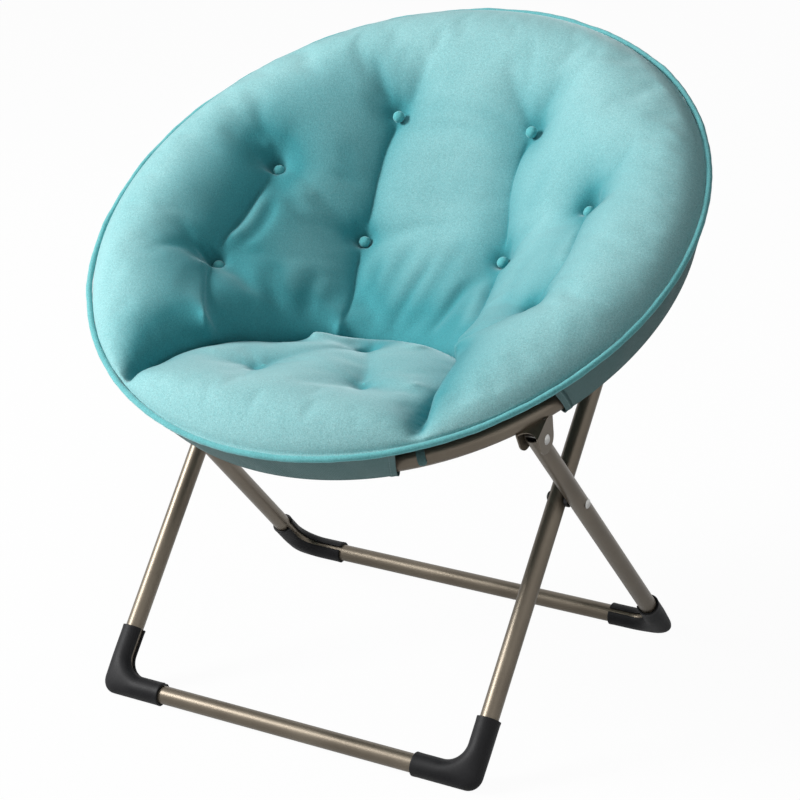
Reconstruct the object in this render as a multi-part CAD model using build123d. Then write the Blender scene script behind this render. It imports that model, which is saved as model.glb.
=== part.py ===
from build123d import *
import math
import os

# Folding saucer chair: a round ring of two hinged tube arcs carries a tufted cushion on two
# crossed U-shaped leg frames. +Z is up, the sitter faces -Y, +X is the sitter's left.
# The origin is on the floor, in the middle of the chair. All lengths are millimetres.

# ---------------------------------------------------------------- driving dimensions
# tubes
tube_radius = 11.1
tube_wall = 1.2

# ring of the seat: centre circle, place of its centre and backward tilt
ring_radius = 344.0
ring_centre_y = 21.1
ring_centre_z = 525.9
ring_tilt = 30.0
hinge_offset = 141.0

# leg frames: half width between leg centres, place of the floor bar, top pivot under the ring
rear_half_width = 272.5
rear_bar_y = 203.3
front_half_width = 245.7
front_bar_y = -263.3
pivot_drop = 28.4
seat_pivot_forward = 2.6
back_pivot_forward = 1.0
leg_bend_radius = 38.0
leg_stub = 9.0

# plastic boots on the four bottom bends
boot_wall = 3.0
boot_sole_flat = 0.6
boot_corner_radius = 17.0
front_boot_up = 70.0
front_boot_along = 71.0
rear_boot_up = 65.0
rear_boot_along = 69.0

# rivets and the spacer between the crossed legs
rivet_radius = 3.0
rivet_clearance = 0.1
rivet_head_radius = 6.0
rivet_head_height = 2.6
spacer_radius = 8.5
turning_gap = 0.2

# brackets under the ring
bracket_sheet = 2.0
bracket_gap = 0.4
ear_radius = 16.5
web_reach = 23.0
web_drop = 7.5
web_top_reach = 3.0
web_top_rise = 23.5
ear_top_reach = 12.0
ear_top_rise = 30.0
web_notch_radius = 15.0
web_notch_depth = 6.0

# hinge of the ring
hinge_cut_back = 36.0
hinge_plug_length = 10.0
hinge_plug_clearance = 0.2
fork_half_width = 6.0
fork_half_height = 6.5
fork_slot_depth = 15.0
tongue_half_width = 1.8
tongue_half_height = 4.2
tongue_neck = 18.0
hinge_side_gap = 0.3
hinge_sleeve_gap = 0.5
hinge_pin_radius = 2.0
hinge_pin_head_radius = 3.8
hinge_pin_head = 1.4

# cushion: piping, crown, tufts and bowl, as overhang or inset from the ring and height over it
piping_overhang = 32.0
piping_height = 50.1
piping_cord = 3.6
piping_gap = 0.2
seam_half = 1.5
crown_inset = 7.0
crown_height = 66.0
outer_tuft_inset = 110.0
outer_tuft_height = 27.0
inner_tuft_radius = 112.0
inner_tuft_height = -50.0
bowl_height = -82.0
pad_thickness = 47.0
rim_pad_clearance = 0.6
split_gap = 0.3

# tuft buttons: radius, height, depth under the pillows
button_radius = 7.0
button_height = 3.0
button_dome = 2.2
tuft_depth = 12.0
tuft_mouth = 24.0
button_pocket_gap = 0.3
outer_tuft_angles = (21.0, 65.0)
front_tuft_inset = 102.0
front_tuft_angle = -73.0
side_tuft_angle = -21.0
inner_tuft_angle = 28.0
seat_tuft_radius = 125.0

# lining under the cushion, sleeves round the ring and the small tabs
lining_thickness = 1.4
sleeve_inner_radius = 13.0
sleeve_thickness = 1.2
front_sleeve_end = 62.5
side_sleeve_start = -33.0
side_sleeve_end = 36.0
back_sleeve_start = 55.0
tab_angle = 58.6
tab_width = 9.0
tab_thickness = 1.4

# ---------------------------------------------------------------- derived places
bar_height = tube_radius + boot_wall - boot_sole_flat
ring_cos = math.cos(math.radians(ring_tilt))
ring_sin = math.sin(math.radians(ring_tilt))
seat_reach = math.sqrt(ring_radius**2 - rear_half_width**2)
back_reach = math.sqrt(ring_radius**2 - front_half_width**2)
seat_pivot_y = ring_centre_y - seat_reach * ring_cos - seat_pivot_forward
seat_pivot_z = ring_centre_z - seat_reach * ring_sin - pivot_drop
back_pivot_y = ring_centre_y + back_reach * ring_cos - back_pivot_forward
back_pivot_z = ring_centre_z + back_reach * ring_sin - pivot_drop
front_slope = (back_pivot_y - front_bar_y) / (back_pivot_z - bar_height)
rear_slope = (seat_pivot_y - rear_bar_y) / (seat_pivot_z - bar_height)
scissor_rise = (rear_bar_y - front_bar_y) / (front_slope - rear_slope)
scissor_y = front_bar_y + front_slope * scissor_rise
scissor_z = bar_height + scissor_rise
ear_inner = tube_radius + bracket_gap
ear_outer = ear_inner + bracket_sheet
bore_radius = tube_radius - tube_wall
hinge_x = math.sqrt(ring_radius**2 - hinge_offset**2)
hinge_angle = math.degrees(math.asin(hinge_offset / ring_radius))
cut_angle = math.degrees(hinge_cut_back / ring_radius)
piping_radius = ring_radius + piping_overhang
crown_radius = ring_radius - crown_inset
outer_tuft_radius = ring_radius - outer_tuft_inset
front_tuft_radius = ring_radius - front_tuft_inset
piping_angle = math.degrees(math.asin(hinge_offset / piping_radius))
sleeve_outer_radius = sleeve_inner_radius + sleeve_thickness
lining_round = (sleeve_outer_radius + lining_thickness + rim_pad_clearance) / math.cos(math.radians(15))

ring_plane = Plane(
    origin=(0, ring_centre_y, ring_centre_z),
    x_dir=(1, 0, 0),
    z_dir=(0, -ring_sin, ring_cos),
)


def on_ring(shape):
    """Move a shape from the ring's own frame (X, up the slope, square to the ring) into place."""
    return ring_plane.location * shape


def side_name(side):
    """Left and right as the sitter has them: the sitter's left is at +X."""
    return "left" if side > 0 else "right"


def rod(start, end, radius):
    """A round rod between two points."""
    axis = Vector(*end) - Vector(*start)
    plane = Plane(origin=start, z_dir=axis)
    return extrude(plane * Circle(radius), amount=axis.length)


def swept_round(path, radius):
    """A round bar along a path of lines and arcs."""
    return sweep(Plane(origin=path @ 0, z_dir=path % 0) * Circle(radius), path=path)


def spun(face, start=0.0, end=360.0):
    """Turn a face drawn as (radius, height) about the ring's axis, from one angle to another."""
    return Rot(0, 0, start) * revolve(Plane.XZ * face, axis=Axis.Z, revolution_arc=end - start)


def domed_head(radius, height):
    """A low dome standing on Z = 0."""
    sphere_radius = (radius**2 + height**2) / (2 * height)
    ball = Pos(0, 0, height - sphere_radius) * Sphere(sphere_radius)
    return ball & (Pos(0, 0, height / 2) * Cylinder(radius, height))


def pointing_x(shape, x, y, z, side):
    """Stand a shape made along +Z at a point so that it points along +X or -X."""
    return Pos(x, y, z) * Rot(0, 90 * side, 0) * shape


# ---------------------------------------------------------------- leg frames
def leg_plane(bar_y, slope):
    """The plane of a leg frame: X across, Y up the legs, origin in the middle of the floor bar."""
    return Plane(origin=(0, bar_y, bar_height), x_dir=(1, 0, 0), z_dir=(0, -1, slope))


def leg_length(slope, pivot_z):
    """From the floor bar's centre line to the top pivot, along the leg."""
    return (pivot_z - bar_height) * math.hypot(1, slope)


def leg_path(half_width, length, radius):
    """Down one leg, along the floor bar and up the other leg."""
    corners = [(-half_width, length), (-half_width, 0), (half_width, 0), (half_width, length)]
    return FilletPolyline(*corners, radius=radius)


def leg_frame(bar_y, slope, half_width, pivot_y, pivot_z):
    """One bent tube, drilled for its top pivots and for the scissor rivets."""
    path = leg_path(half_width, leg_length(slope, pivot_z) + leg_stub, leg_bend_radius)
    tube = swept_round(path, tube_radius) - swept_round(path, bore_radius)
    frame = leg_plane(bar_y, slope).location * tube
    hole = rivet_radius + rivet_clearance
    reach = half_width + 2 * tube_radius
    for y, z in ((pivot_y, pivot_z), (scissor_y, scissor_z)):
        frame -= rod((-reach, y, z), (reach, y, z), hole)
    return frame


def boot(bar_y, slope, half_width, up, along, side):
    """A moulded elbow over one bottom bend: square outside, open inside the bend, flat underneath."""
    corners = [(half_width, up), (half_width, 0), (half_width - along, 0)]
    shell = swept_round(FilletPolyline(*corners, radius=boot_corner_radius), tube_radius + boot_wall)
    tube = swept_round(leg_path(half_width, 2 * up, leg_bend_radius), tube_radius)
    elbow = split(leg_plane(bar_y, slope).location * (shell - tube), bisect_by=Plane.XY, keep=Keep.TOP)
    return elbow if side > 0 else mirror(elbow, about=Plane.YZ)


# ---------------------------------------------------------------- ring
def ring_arc(start, end):
    """A length of the ring's tube, from one angle to another."""
    section = Circle(tube_radius) - Circle(bore_radius)
    return on_ring(spun(Pos(ring_radius, 0) * section, start, end))


def ring_rod(radius):
    """The whole ring as a solid rod, for cutting what meets the tube."""
    return on_ring(Torus(ring_radius, radius))


def bracket(half_width, pivot_y, pivot_z, side):
    """A channel under the ring: a web in front, two ears beside the leg, coped to the tube."""
    web_foot = (-web_reach, web_drop)
    web_top = (-web_top_reach, web_top_rise)
    run = Vector(web_top[0] - web_foot[0], web_top[1] - web_foot[1]).normalized()
    inward = Vector(run.Y, -run.X) * bracket_sheet
    outline = Polyline(web_foot, web_top, (ear_top_reach, ear_top_rise))
    ear = make_hull(Circle(ear_radius).edges() + outline.edges())
    web = Polygon(
        web_foot,
        web_top,
        (web_top[0] + inward.X, web_top[1] + inward.Y),
        (web_foot[0] + inward.X, web_foot[1] + inward.Y),
        align=None,
    )
    body = extrude(Plane.YZ * web, amount=ear_outer, both=True)
    for inner in (-ear_outer, ear_inner):
        body += extrude(Plane.YZ.offset(inner) * ear, amount=bracket_sheet)
    beyond = web_notch_radius - web_notch_depth
    notch_centre = (0, web_foot[0] - run.X * beyond, web_foot[1] - run.Y * beyond)
    notch = Plane(origin=notch_centre, z_dir=(0, inward.X, inward.Y)) * Circle(web_notch_radius)
    relief = extrude(notch, amount=2 * bracket_sheet, both=True)
    relief &= Box(2 * ear_inner, 4 * web_reach, 4 * web_reach)
    body -= relief
    body -= rod((-2 * ear_outer, 0, 0), (2 * ear_outer, 0, 0), rivet_radius + rivet_clearance)
    coped = Pos(half_width, pivot_y, pivot_z) * body - ring_rod(tube_radius)
    channel = max(coped.solids(), key=lambda solid: solid.volume)
    return channel if side > 0 else mirror(channel, about=Plane.YZ)


def through_rivet(inner_x, outer_x, y, z, side):
    """A rivet across the chair's side, with a dome at each end."""
    head = domed_head(rivet_head_radius, rivet_head_height)
    shank = rod((side * inner_x, y, z), (side * outer_x, y, z), rivet_radius)
    outer = pointing_x(head, side * outer_x, y, z, side)
    return shank + outer + pointing_x(head, side * inner_x, y, z, -side)


def back_rivet_heads(side):
    """The two domes on the outer faces of a back bracket's ears."""
    head = domed_head(rivet_head_radius, rivet_head_height)
    at = [(front_half_width + ear_outer, side), (front_half_width - ear_outer, -side)]
    return Compound(
        children=[pointing_x(head, side * x, back_pivot_y, back_pivot_z, turn) for x, turn in at]
    )


def ring_point(angle, offset=0.0):
    """A point on the ring's centre circle, or beside it, in the ring's own frame."""
    turn = math.radians(angle)
    return ((ring_radius + offset) * math.cos(turn), (ring_radius + offset) * math.sin(turn))


def end_plug(angle, into):
    """A round plug in the end of a ring arc, along the tube."""
    turn = math.radians(angle)
    x, v = ring_point(angle)
    along = (-math.sin(turn) * into, math.cos(turn) * into)
    end = (x + along[0] * hinge_plug_length, v + along[1] * hinge_plug_length, 0)
    return rod((x, v, 0), end, bore_radius - hinge_plug_clearance)


def hinge_profile(nose, half_height, neck, reach):
    """The side view of a hinge leaf, (up the slope, height), with a round nose on the pin."""
    bar = Polygon((0, -nose), (neck, -nose), (neck, nose), (0, nose), align=None)
    block = Polygon(
        (neck, -half_height), (reach, -half_height), (reach, half_height), (neck, half_height), align=None
    )
    return Circle(nose) + bar + block


def hinge_leaf(side, fork):
    """One half of the ring hinge in the ring's own frame: the seat arc's fork or the back arc's tongue."""
    angle = hinge_angle - cut_angle if fork else hinge_angle + cut_angle
    away = -1 if fork else 1
    half_width = fork_half_width if fork else tongue_half_width
    neck = 0.0 if fork else tongue_neck
    nose = fork_half_height if fork else tongue_half_height
    start, end = ring_point(angle, fork_half_height), ring_point(angle, -fork_half_height)
    pivot_side = hinge_offset + away * (tongue_neck if not fork else fork_slot_depth)
    tip = hinge_offset - away * 2 * nose
    plan = Polygon(
        start,
        (hinge_x + half_width, pivot_side),
        (hinge_x + half_width, tip),
        (hinge_x - half_width, tip),
        (hinge_x - half_width, pivot_side),
        end,
        align=None,
    )
    leaf = extrude(plan, amount=2 * fork_half_height, both=True)
    profile = hinge_profile(nose, fork_half_height, neck, 2 * hinge_cut_back)
    view = Plane(origin=(0, hinge_offset, 0), x_dir=(0, away, 0), z_dir=(away, 0, 0))
    leaf &= extrude(view * profile, amount=2 * ring_radius, both=True)
    leaf &= Torus(ring_radius, sleeve_inner_radius - hinge_sleeve_gap)
    leaf += end_plug(angle, away)
    if fork:
        slot_half = tongue_half_width + hinge_side_gap
        ceiling = tongue_half_height + hinge_side_gap
        length = fork_slot_depth + 2 * nose
        height = ceiling + 2 * fork_half_height
        centre = (hinge_x, hinge_offset + nose * 2 - length / 2, ceiling - height / 2)
        leaf -= Pos(*centre) * Box(2 * slot_half, length, height)
    reach = 2 * fork_half_width
    start, end = (hinge_x - reach, hinge_offset, 0), (hinge_x + reach, hinge_offset, 0)
    leaf -= rod(start, end, hinge_pin_radius + rivet_clearance)
    return on_ring(leaf if side > 0 else mirror(leaf, about=Plane.YZ))


def hinge_pin(side):
    """The pin of the ring hinge, with a flat head at each end."""
    inner, outer = hinge_x - fork_half_width, hinge_x + fork_half_width
    pin = rod((inner, hinge_offset, 0), (outer, hinge_offset, 0), hinge_pin_radius)
    for x, way in ((inner, -1), (outer, 1)):
        pin += rod((x, hinge_offset, 0), (x + way * hinge_pin_head, hinge_offset, 0), hinge_pin_head_radius)
    return on_ring(pin if side > 0 else mirror(pin, about=Plane.YZ))


# ---------------------------------------------------------------- cushion
def round_the_tube(angle):
    """A point of the pad's underside round the sleeve, as (radius, height)."""
    turn = math.radians(angle)
    return (ring_radius + lining_round * math.cos(turn), lining_round * math.sin(turn))


seam_radius = piping_radius - piping_cord - piping_gap
top_points = [
    (seam_radius, piping_height + seam_half),
    (crown_radius, crown_height),
    (outer_tuft_radius, outer_tuft_height),
    (inner_tuft_radius, inner_tuft_height),
    (0, bowl_height),
]
under_points = [
    (0, bowl_height - pad_thickness),
    (inner_tuft_radius, inner_tuft_height - pad_thickness),
    (outer_tuft_radius, outer_tuft_height - pad_thickness),
    *[round_the_tube(angle) for angle in (150, 120, 90, 60)],
    (seam_radius, piping_height - seam_half),
]
crown_bulges = (6.0, 7.0, 4.0)


def bulged(start, end, bulge):
    """An arc between two points that stands off its chord by the bulge, to the upper side."""
    chord = Vector(end[0] - start[0], end[1] - start[1])
    middle = ((start[0] + end[0]) / 2, (start[1] + end[1]) / 2)
    off = Vector(chord.Y, -chord.X).normalized() * bulge
    return ThreePointArc(start, (middle[0] + off.X, middle[1] + off.Y), end)


def bowl_arc():
    """The round bottom of the bowl: part of a sphere centred on the ring's axis."""
    rise = inner_tuft_height - bowl_height
    sphere_radius = (inner_tuft_radius**2 + rise**2) / (2 * rise)
    half_way = inner_tuft_radius / 2
    sag = sphere_radius - math.sqrt(sphere_radius**2 - half_way**2)
    return ThreePointArc(top_points[-2], (half_way, bowl_height + sag), top_points[-1])


def top_curve():
    """The pillow line of the cushion's upper side, from the seam to the middle."""
    pairs = zip(top_points, top_points[1:], crown_bulges)
    return [bulged(start, end, bulge) for start, end, bulge in pairs] + [bowl_arc()]


def lowered(points, drop):
    """The points moved square to the line through their neighbours, to the lower side."""
    moved = []
    for i, point in enumerate(points):
        before, after = points[max(i - 1, 0)], points[min(i + 1, len(points) - 1)]
        run = Vector(after[0] - before[0], after[1] - before[1]).normalized()
        radius = min(point[0] + run.Y * drop, seam_radius) if i else 0.0
        moved.append((radius, point[1] - run.X * drop))
    return moved


def surface_at(radius):
    """Height of the pillow line's chord at a radius, and its slope in degrees."""
    for (r0, h0), (r1, h1) in zip(top_points[:-1], top_points[1:]):
        if r1 <= radius <= r0:
            share = (radius - r1) / (r0 - r1)
            return h1 + share * (h0 - h1), math.degrees(math.atan2(h0 - h1, r0 - r1))


def tuft_places():
    """Radius and angle of every tuft: pairs mirrored left and right, and one in the middle of the seat."""
    pairs = [(outer_tuft_radius, angle) for angle in (*outer_tuft_angles, side_tuft_angle)]
    pairs += [(front_tuft_radius, front_tuft_angle), (inner_tuft_radius, inner_tuft_angle)]
    return pairs + [(radius, 180 - angle) for radius, angle in pairs] + [(seat_tuft_radius, -90)]


def at_tuft(shape, radius, angle):
    """Stand a shape made along +Z on the pillow line, square to it."""
    height, slope = surface_at(radius)
    return Rot(0, 0, angle) * Pos(radius, 0, height) * Rot(0, -slope, 0) * shape


def tuft_dimple():
    """The funnel that a button pulls into the cushion, with a flat seat for the button."""
    floor = button_radius + button_pocket_gap
    funnel = Polygon(
        (0, -tuft_depth), (floor, -tuft_depth), (floor, button_height - tuft_depth),
        (tuft_mouth, tuft_depth), (0, tuft_depth), align=None,
    )
    return revolve(Plane.XZ * funnel, axis=Axis.Z)


def tuft_button():
    """A covered button: a short drum with a domed top, on its seat in the dimple."""
    drum = Pos(0, 0, button_height / 2) * Cylinder(button_radius, button_height)
    dome = Pos(0, 0, button_height) * domed_head(button_radius, button_dome)
    return Pos(0, 0, -tuft_depth) * (drum + dome)


def whole_pad():
    """The round tufted pad, in the ring's own frame."""
    edges = top_curve() + [
        Line(top_points[-1], under_points[0]),
        Polyline(*under_points),
        Line(under_points[-1], top_points[0]),
    ]
    return spun(make_face(edges))


def tufted(half):
    """One half of the pad, in place, with its dimples."""
    for radius, angle in tuft_places():
        half -= on_ring(at_tuft(tuft_dimple(), radius, angle))
    return half


def whole_lining():
    """The grey lining: a thin shell under the pad, in the ring's own frame."""
    lower = lowered(under_points, lining_thickness)
    outline = Polyline(*under_points, *reversed(lower), close=True)
    return spun(make_face(outline))


def piping(start, end):
    """A length of the cushion's corded edge, short of the hinge line by half the split gap at each end."""
    short = math.degrees(split_gap / 2 / piping_radius)
    section = Pos(piping_radius, piping_height) * Circle(piping_cord)
    return on_ring(spun(section, start + short, end - short))


def before_hinge(shape):
    """The part of a whole round that lies on the seat arc, in place."""
    cut = Plane(origin=(0, hinge_offset - split_gap / 2, 0), z_dir=(0, 1, 0))
    return on_ring(split(shape, bisect_by=cut, keep=Keep.BOTTOM))


def behind_hinge(shape):
    """The part of a whole round that lies on the back arc, in place."""
    cut = Plane(origin=(0, hinge_offset + split_gap / 2, 0), z_dir=(0, 1, 0))
    return on_ring(split(shape, bisect_by=cut, keep=Keep.TOP))


def buttons(on_back):
    """The buttons of one half of the cushion, as separate solids."""
    rows = [(r, a) for r, a in tuft_places() if (r * math.sin(math.radians(a)) > hinge_offset) == on_back]
    return on_ring(Compound(children=[at_tuft(tuft_button(), r, a) for r, a in rows]))


def sleeve(start, end):
    """A tube of lining cloth round the ring, from one angle to another."""
    section = Circle(sleeve_outer_radius) - Circle(sleeve_inner_radius)
    return on_ring(spun(Pos(ring_radius, 0) * section, start, end))


def tab(side):
    """A small cloth tab round the front of the bare tube, beside the front sleeve."""
    half = math.degrees(tab_width / ring_radius) / 2
    reach = 2 * tube_radius
    quarter = Polygon((0, reach), (0, 0), (reach, -reach), (reach, reach), align=None)
    band = (Circle(tube_radius + tab_thickness) - Circle(tube_radius)) & quarter
    strip = spun(Pos(ring_radius, 0) * band, -tab_angle - half, -tab_angle + half)
    return on_ring(strip if side > 0 else mirror(strip, about=Plane.YZ))


# ---------------------------------------------------------------- all pieces
parts = {
    "rear_leg_frame": leg_frame(rear_bar_y, rear_slope, rear_half_width, seat_pivot_y, seat_pivot_z),
    "front_leg_frame": leg_frame(front_bar_y, front_slope, front_half_width, back_pivot_y, back_pivot_z),
    "seat_ring_tube": ring_arc(180 - hinge_angle + cut_angle, 360 + hinge_angle - cut_angle),
    "back_ring_tube": ring_arc(hinge_angle + cut_angle, 180 - hinge_angle - cut_angle),
    "sleeve_front": sleeve(front_sleeve_end - 180, -front_sleeve_end),
    "sleeve_left": sleeve(side_sleeve_start, side_sleeve_end),
    "sleeve_right": sleeve(180 - side_sleeve_end, 180 - side_sleeve_start),
    "sleeve_back": sleeve(back_sleeve_start, 180 - back_sleeve_start),
    "piping_seat": piping(180 - piping_angle, 360 + piping_angle),
    "piping_back": piping(piping_angle, 180 - piping_angle),
    "tuft_buttons_seat": buttons(on_back=False),
    "tuft_buttons_back": buttons(on_back=True),
}

for whole, name in ((whole_pad(), "cushion"), (whole_lining(), "lining")):
    parts[name + "_seat"] = before_hinge(whole)
    parts[name + "_back"] = behind_hinge(whole)
parts["cushion_seat"] = tufted(parts["cushion_seat"])
parts["cushion_back"] = tufted(parts["cushion_back"])

for side in (-1, 1):
    hand = "_" + side_name(side)
    front_inner = front_half_width - tube_radius
    front_outer = front_half_width + tube_radius
    rear_inner = rear_half_width - tube_radius
    rear_outer = rear_half_width + tube_radius
    parts["front_boot" + hand] = boot(
        front_bar_y, front_slope, front_half_width, front_boot_up, front_boot_along, side
    )
    parts["rear_boot" + hand] = boot(
        rear_bar_y, rear_slope, rear_half_width, rear_boot_up, rear_boot_along, side
    )
    parts["seat_bracket" + hand] = bracket(rear_half_width, seat_pivot_y, seat_pivot_z, side)
    parts["back_bracket" + hand] = bracket(front_half_width, back_pivot_y, back_pivot_z, side)
    parts["seat_rivet" + hand] = through_rivet(
        rear_half_width - ear_outer, rear_half_width + ear_outer, seat_pivot_y, seat_pivot_z, side
    )
    parts["scissor_rivet" + hand] = through_rivet(
        front_inner - turning_gap, rear_outer, scissor_y, scissor_z, side
    )
    washer = rod(
        (side * front_outer, scissor_y, scissor_z),
        (side * (rear_inner - turning_gap), scissor_y, scissor_z),
        spacer_radius,
    )
    parts["scissor_spacer" + hand] = washer - rod(
        (0, scissor_y, scissor_z),
        (side * rear_outer, scissor_y, scissor_z),
        rivet_radius + rivet_clearance,
    )
    parts["back_pivot_pin" + hand] = rod(
        (side * front_inner, back_pivot_y, back_pivot_z),
        (side * front_outer, back_pivot_y, back_pivot_z),
        rivet_radius,
    )
    parts["back_rivet_heads" + hand] = back_rivet_heads(side)
    parts["hinge_fork" + hand] = hinge_leaf(side, fork=True)
    parts["hinge_tongue" + hand] = hinge_leaf(side, fork=False)
    parts["hinge_pin" + hand] = hinge_pin(side)
    parts["tab" + hand] = tab(side)

os.makedirs("parts", exist_ok=True)
for name, shape in parts.items():
    export_step(shape, f"parts/{name}.step")
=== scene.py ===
import math

import bmesh
import bpy
import numpy as np
from mathutils import Matrix, Vector


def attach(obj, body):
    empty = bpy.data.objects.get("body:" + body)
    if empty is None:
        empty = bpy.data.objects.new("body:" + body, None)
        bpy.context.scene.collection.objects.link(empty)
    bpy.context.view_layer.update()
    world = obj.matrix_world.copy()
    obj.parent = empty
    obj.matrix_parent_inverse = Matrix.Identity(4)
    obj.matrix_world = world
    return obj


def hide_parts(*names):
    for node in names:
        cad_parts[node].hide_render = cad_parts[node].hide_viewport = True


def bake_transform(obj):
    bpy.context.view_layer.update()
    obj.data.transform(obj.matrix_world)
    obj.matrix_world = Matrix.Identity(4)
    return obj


# Folding saucer chair in metres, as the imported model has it. Shapes that belong to the ring are
# drawn in its own frame, in millimetres: x across, v up the slope, n square to the ring.

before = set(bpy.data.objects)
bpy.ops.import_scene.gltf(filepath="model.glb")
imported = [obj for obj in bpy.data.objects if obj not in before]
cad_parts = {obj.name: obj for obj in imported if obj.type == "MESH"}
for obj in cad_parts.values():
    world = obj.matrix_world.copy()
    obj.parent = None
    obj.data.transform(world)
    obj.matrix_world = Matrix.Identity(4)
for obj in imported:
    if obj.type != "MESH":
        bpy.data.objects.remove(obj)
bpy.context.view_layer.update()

# the ring's tilt of 30 degrees, as its sine and cosine
TILT_RISE, TILT_RUN = 0.5, math.cos(math.radians(30))
RING_CENTRE = np.array((0.0, 0.0211, 0.5259))
ACROSS = np.array((1.0, 0.0, 0.0))
UP_SLOPE = np.array((0.0, TILT_RUN, TILT_RISE))
OFF_RING = np.array((0.0, -TILT_RISE, TILT_RUN))

# lengths of the ring and the seat in millimetres
RING_HEIGHT = 525.9
RING_RADIUS = 344.0
SEAM_RADIUS = 372.2
PIPING_RADIUS = 376.0
PIPING_HEIGHT = 50.1
HINGE_UP = 141.0

FULL_TURN = 2.0 * math.pi

# -------- camera
AZIMUTH, ELEVATION, ROLL = math.radians(30.08), math.radians(19.88), math.radians(-0.6)
CAMERA_PLACE = (1.27594, -2.19019, 1.25375)
LENS = 99.82


def settle(thing, **values):
    """Set a thing's values by name."""
    for name, value in values.items():
        setattr(thing, name, value)
    return thing


def stand(name, data):
    """A new object in the scene."""
    thing = bpy.data.objects.new(name, data)
    bpy.context.scene.collection.objects.link(thing)
    return thing


def set_camera():
    """Stand the camera where the photograph was taken from."""
    data = bpy.data.cameras.new("camera")
    camera = stand("camera", settle(data, lens=LENS, sensor_width=36.0, clip_end=50.0))
    flat = math.cos(ELEVATION)
    ahead = Vector((-math.sin(AZIMUTH) * flat, math.cos(AZIMUTH) * flat, -math.sin(ELEVATION)))
    level = Vector((math.cos(AZIMUTH), math.sin(AZIMUTH), 0.0))
    above = level.cross(ahead)
    right = level * math.cos(ROLL) + above * math.sin(ROLL)
    up = above * math.cos(ROLL) - level * math.sin(ROLL)
    turn = Matrix((right, up, -ahead)).transposed().to_4x4()
    camera.matrix_world = Matrix.Translation(CAMERA_PLACE) @ turn
    bpy.context.scene.camera = camera


# -------- materials
class Wire:
    """One output socket; arithmetic on it adds Math nodes to its finish."""

    def __init__(self, finish, socket):
        self.finish = finish
        self.socket = socket

    def math(self, operation, *terms):
        return self.finish.node("ShaderNodeMath", {"operation": operation}, dict(enumerate(terms)))

    def __add__(self, other):
        return self.math("ADD", self, other)

    def __radd__(self, other):
        return self.math("ADD", other, self)

    def __mul__(self, other):
        return self.math("MULTIPLY", self, other)

    def __rmul__(self, other):
        return self.math("MULTIPLY", other, self)

    def wave(self, length):
        """A sine along the value that comes round after each length."""
        turned = self * (FULL_TURN / length)
        return turned.math("SINE", turned)


class Finish:
    """A material, or the world, and its nodes; node() adds one and gives back a wire from it."""

    def __init__(self, name, world=None):
        self.material = world or bpy.data.materials.new(name)
        self.material.use_nodes = True
        self.tree = self.material.node_tree
        self.tree.nodes.clear()

    def node(self, kind, settings=None, inputs=None, out=0):
        """Settings come first; inputs are numbers, tuples or wires."""
        made = settle(self.tree.nodes.new(kind), **(settings or {}))
        for key, value in (inputs or {}).items():
            socket = made.inputs[key]
            if isinstance(value, Wire):
                self.tree.links.new(value.socket, socket)
            elif isinstance(value, tuple) and len(value) == 3 and socket.type == "RGBA":
                socket.default_value = (*value, 1.0)
            else:
                socket.default_value = value
        return Wire(self, made.outputs[out]) if made.outputs else None

    def place(self):
        return self.node("ShaderNodeTexCoord", out="Object")

    def along(self, place, axis):
        """One coordinate of a place: 0, 1 or 2."""
        return self.node("ShaderNodeSeparateXYZ", inputs={0: place}, out=axis)

    def noise(self, scale, detail=2.0, roughness=0.5, stretch=None):
        """Noise from 0 to 1 whose cells are 1 / scale metres."""
        at = self.place()
        if stretch:
            at = self.node("ShaderNodeMapping", inputs={"Vector": at, "Scale": stretch})
        inputs = {"Vector": at, "Scale": scale, "Detail": detail, "Roughness": roughness}
        return self.node("ShaderNodeTexNoise", inputs=inputs)

    def span(self, value, low=0.3, high=0.7, to_low=0.0, to_high=1.0):
        """The value between low and high, carried to another range and kept in it."""
        inputs = {0: value, 1: low, 2: high, 3: to_low, 4: to_high}
        return self.node("ShaderNodeMapRange", {"clamp": True}, inputs)

    def mix(self, amount, first, second):
        """Two colours mixed by an amount from 0 to 1."""
        inputs = {0: amount, 6: first, 7: second}
        return self.node("ShaderNodeMix", {"data_type": "RGBA"}, inputs, out=2)

    def bump(self, height, distance, strength=1.0):
        inputs = {"Height": height, "Distance": distance, "Strength": strength}
        return self.node("ShaderNodeBump", inputs=inputs)

    def surface(self, **sockets):
        """The Principled shader and the material's output."""
        named = {key.replace("_", " "): value for key, value in sockets.items()}
        shader = self.node("ShaderNodeBsdfPrincipled", inputs=named)
        self.node("ShaderNodeOutputMaterial", inputs={"Surface": shader})
        return self.material


# painted shade: the deeper teal that the cushion's colour goes to in its tufts, valleys, crease
# and folds, on the bowl's left wall and at the foot of the back
PAINTED_SHADE_TEAL = (0.022, 0.265, 0.305)
THREAD_PITCH = 0.0018


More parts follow.
